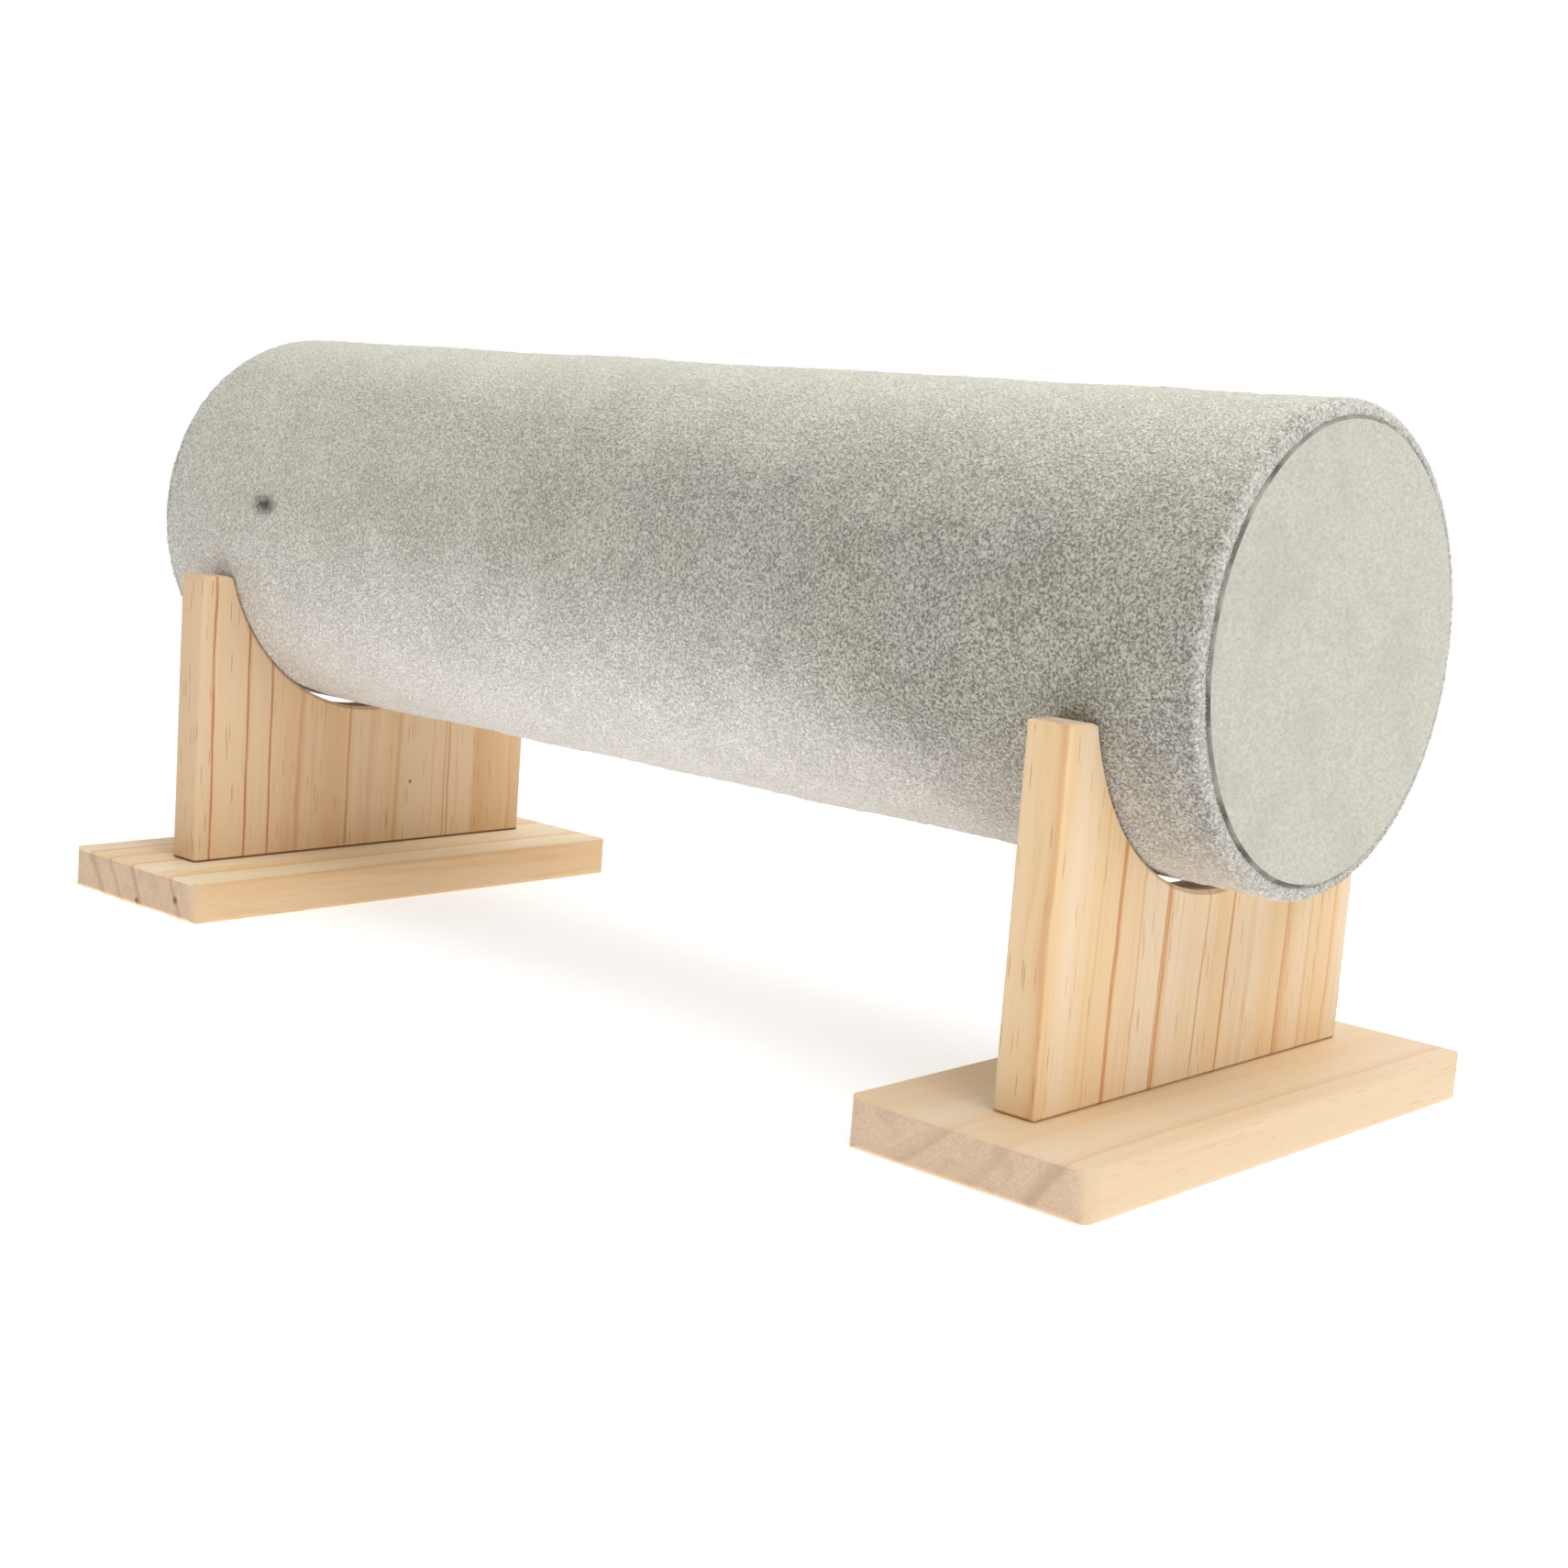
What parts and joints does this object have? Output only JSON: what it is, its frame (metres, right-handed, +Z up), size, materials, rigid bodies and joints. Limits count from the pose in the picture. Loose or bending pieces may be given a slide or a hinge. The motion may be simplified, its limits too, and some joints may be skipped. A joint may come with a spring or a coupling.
{
  "type": "hair accessory stand",
  "caption": "Stand for headbands and hair ties: a padded plush roller that lies in the round cradles of two loose pine stands.",
  "frame": {"origin": "on the floor, midway between the two stands and under the roller's axis", "axes": "+X along the roller towards the right stand, +Y to the rear, +Z up"},
  "size_m": [0.305, 0.132, 0.137],
  "materials": {
    "plush": "matte",
    "end_cloth": "matte",
    "foam": "matte",
    "tube_paper": "matte",
    "grey_board": "matte",
    "pine": "matte",
    "screw_steel": "satin"
  },
  "bodies": {
    "left_stand": {"left_base": "pine", "left_upright": "pine", "left_front_screw": "screw_steel", "left_rear_screw": "screw_steel"},
    "roller": {"core_tube": "tube_paper", "foam_wrap": "foam", "plush_sleeve": "plush", "left_end_board": "grey_board", "left_end_cloth": "end_cloth", "right_end_board": "grey_board", "right_end_cloth": "end_cloth"},
    "right_stand": {"right_base": "pine", "right_upright": "pine", "right_front_screw": "screw_steel", "right_rear_screw": "screw_steel"}
  },
  "joints": [
    {"name": "roller_lift", "type": "slide", "parent": "left_stand", "child": "roller", "axis": [0, 0, 1], "range_m": [0, 0.06]},
    {"name": "right_stand_slide", "type": "slide", "parent": "left_stand", "child": "right_stand", "axis": [1, 0, 0], "range_m": [-0.09, 0.016]}
  ]
}
